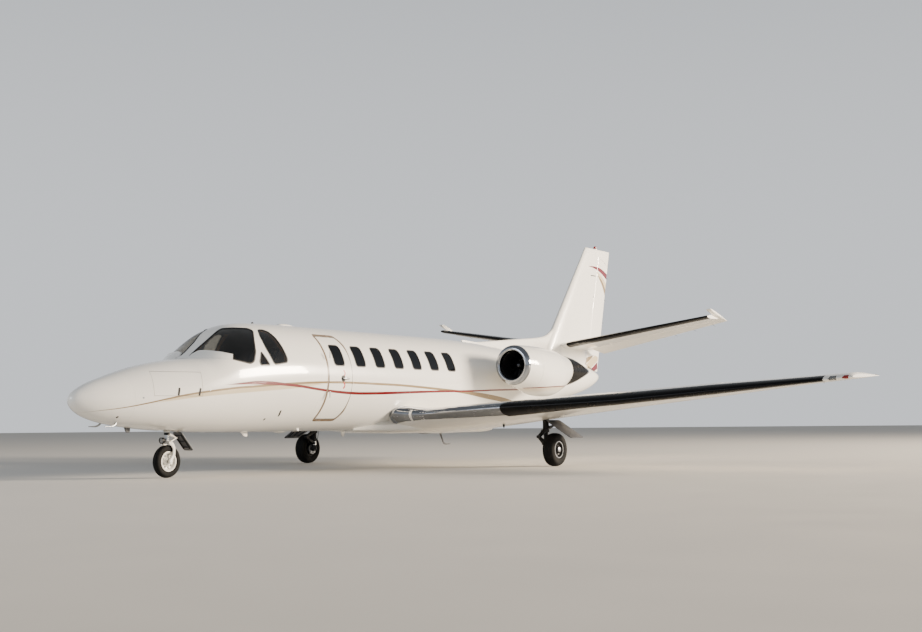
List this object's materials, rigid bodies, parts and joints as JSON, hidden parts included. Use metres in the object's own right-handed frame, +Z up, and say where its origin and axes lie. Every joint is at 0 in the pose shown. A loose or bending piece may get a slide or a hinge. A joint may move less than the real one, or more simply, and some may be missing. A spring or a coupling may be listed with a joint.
{
  "type": "twin-engine business jet",
  "caption": "Twin-engine straight-wing business jet parked on its landing gear, with opening doors, moving control surfaces, steered nose wheel and free-turning wheels and fans.",
  "frame": {"origin": "on the ground under the middle of the aircraft, where its overall box is centred", "axes": "+X towards the port wing tip, -Y towards the nose, +Z up"},
  "size_m": [15.9, 14.9, 4.57],
  "materials": {
    "gloss_white": "gloss white polyurethane paint",
    "dark_grey": "dark grey satin enamel",
    "tyre_black": "matt black aircraft tyre rubber",
    "polished_aluminium": "mirror polished",
    "bare_steel": "machined",
    "heat_stained_steel": "heat stained",
    "dark_window": "clear acrylic over a dim cabin",
    "red_lens": "moulded red lens",
    "tan_leather": "soft sewn leather",
    "cabin_carpet": "short pile"
  },
  "bodies": {
    "airframe": {"radome": "gloss_white", "nose_section": "gloss_white", "cockpit_shell": "gloss_white", "cabin_shell": "gloss_white", "cabin_windows_left": "dark_window", "cabin_windows_right": "dark_window", "tail_cone": "gloss_white", "aft_bulkhead": "tan_leather", "belly_fairing": "gloss_white", "tailplane": "gloss_white", "fin": "gloss_white", "beacon": "red_lens", "nose_leg": "gloss_white", "nose_gear_door": "dark_grey", "cabin_floor": "cabin_carpet", "instrument_panel": "dark_grey", "windscreen_left": "dark_window", "windscreen_right": "dark_window", "cockpit_side_window_left": "dark_window", "cockpit_side_window_right": "dark_window", "wing_left": "gloss_white", "wing_right": "gloss_white", "nacelle_left": "gloss_white", "nacelle_right": "gloss_white", "intake_lip_left": "polished_aluminium", "intake_lip_right": "polished_aluminium", "engine_core_left": "heat_stained_steel", "engine_core_right": "heat_stained_steel", "nozzle_left": "heat_stained_steel", "nozzle_right": "heat_stained_steel", "main_leg_left": "dark_grey", "main_leg_right": "dark_grey", "main_gear_door_left": "gloss_white", "main_gear_door_right": "gloss_white", "cabin_seats_left": "tan_leather", "cabin_seats_right": "tan_leather", "cockpit_seat_left": "tan_leather", "cockpit_seat_right": "tan_leather"},
    "nose_fork_body": {"nose_fork": "gloss_white"},
    "nose_wheel_body": {"nose_wheel": "gloss_white", "nose_tyre": "tyre_black"},
    "main_wheel_left_body": {"main_wheel_left": "bare_steel", "main_tyre_left": "tyre_black"},
    "main_wheel_right_body": {"main_wheel_right": "bare_steel", "main_tyre_right": "tyre_black"},
    "fan_left_body": {"fan_left": "bare_steel"},
    "fan_right_body": {"fan_right": "bare_steel"},
    "rudder_body": {"rudder": "gloss_white"},
    "elevator_left_body": {"elevator_left": "gloss_white"},
    "elevator_right_body": {"elevator_right": "gloss_white"},
    "aileron_left_body": {"aileron_left": "gloss_white"},
    "aileron_right_body": {"aileron_right": "gloss_white"},
    "flap_left_body": {"flap_left": "gloss_white"},
    "flap_right_body": {"flap_right": "gloss_white"},
    "cabin_door_body": {"cabin_door": "gloss_white", "cabin_door_window": "dark_window"},
    "baggage_door_left_body": {"baggage_door_left": "gloss_white"},
    "baggage_door_right_body": {"baggage_door_right": "gloss_white"}
  },
  "joints": [
    {"name": "steering", "type": "hinge", "parent": "airframe", "child": "nose_fork_body", "pos_m": [0, -5.757, 0.5], "axis": [0, 0, 1], "range_deg": [-95, 95]},
    {"name": "nose_wheel_spin", "type": "hinge", "parent": "nose_fork_body", "child": "nose_wheel_body", "pos_m": [0, -5.757, 0.22655], "axis": [1, 0, 0], "continuous": true},
    {"name": "main_wheel_left_spin", "type": "hinge", "parent": "airframe", "child": "main_wheel_left_body", "pos_m": [2.68, 0.31, 0.27265], "axis": [1, 0, 0], "continuous": true},
    {"name": "main_wheel_right_spin", "type": "hinge", "parent": "airframe", "child": "main_wheel_right_body", "pos_m": [-2.68, 0.31, 0.27265], "axis": [1, 0, 0], "continuous": true},
    {"name": "fan_left_spin", "type": "hinge", "parent": "airframe", "child": "fan_left_body", "pos_m": [1.35, 1.48, 1.74], "axis": [0, 1, 0], "continuous": true},
    {"name": "fan_right_spin", "type": "hinge", "parent": "airframe", "child": "fan_right_body", "pos_m": [-1.35, 1.48, 1.74], "axis": [0, 1, 0], "continuous": true},
    {"name": "rudder_hinge", "type": "hinge", "parent": "airframe", "child": "rudder_body", "pos_m": [0, 6.22, 1.94], "axis": [0, 0.2741, 0.9617], "range_deg": [-20, 20]},
    {"name": "elevator_left_hinge", "type": "hinge", "parent": "airframe", "child": "elevator_left_body", "pos_m": [0.215, 6.14892, 2.32452], "axis": [0.9872, -0.0564, 0.1493], "range_deg": [0, 35]},
    {"name": "elevator_right_hinge", "type": "hinge", "parent": "airframe", "child": "elevator_right_body", "pos_m": [-0.215, 6.14892, 2.32452], "axis": [0.9872, 0.0564, -0.1493], "range_deg": [0, 35]},
    {"name": "aileron_left_hinge", "type": "hinge", "parent": "airframe", "child": "aileron_left_body", "pos_m": [5.12, 0.57841, 1.12056], "axis": [-0.9935, 0.0754, -0.0855], "range_deg": [-19, 19]},
    {"name": "aileron_right_hinge", "type": "hinge", "parent": "airframe", "child": "aileron_right_body", "pos_m": [-5.12, 0.57841, 1.12056], "axis": [-0.9935, -0.0754, 0.0855], "range_deg": [-19, 19]},
    {"name": "flap_left_hinge", "type": "hinge", "parent": "airframe", "child": "flap_left_body", "pos_m": [1.01, 0.88822, 0.72176], "axis": [-0.9925, 0.0748, -0.0964], "range_deg": [0, 40]},
    {"name": "flap_right_hinge", "type": "hinge", "parent": "airframe", "child": "flap_right_body", "pos_m": [-1.01, 0.88822, 0.72176], "axis": [-0.9925, -0.0748, 0.0964], "range_deg": [0, 40]},
    {"name": "cabin_door_hinge", "type": "hinge", "parent": "airframe", "child": "cabin_door_body", "pos_m": [0.834, -3.235, 1.435], "axis": [0, 0, -1], "range_deg": [0, 100]},
    {"name": "baggage_door_left_hinge", "type": "hinge", "parent": "airframe", "child": "baggage_door_left_body", "pos_m": [0.30394, -6.37, 1.45], "axis": [-0.3799, -0.925, 0], "range_deg": [0, 100]},
    {"name": "baggage_door_right_hinge", "type": "hinge", "parent": "airframe", "child": "baggage_door_right_body", "pos_m": [-0.30394, -6.37, 1.45], "axis": [-0.3799, 0.925, 0], "range_deg": [0, 100]}
  ],
  "couplings": [
    {"joint": "elevator_right_hinge", "follows": "elevator_left_hinge", "ratio": 1},
    {"joint": "aileron_right_hinge", "follows": "aileron_left_hinge", "ratio": -1},
    {"joint": "flap_right_hinge", "follows": "flap_left_hinge", "ratio": 1}
  ]
}
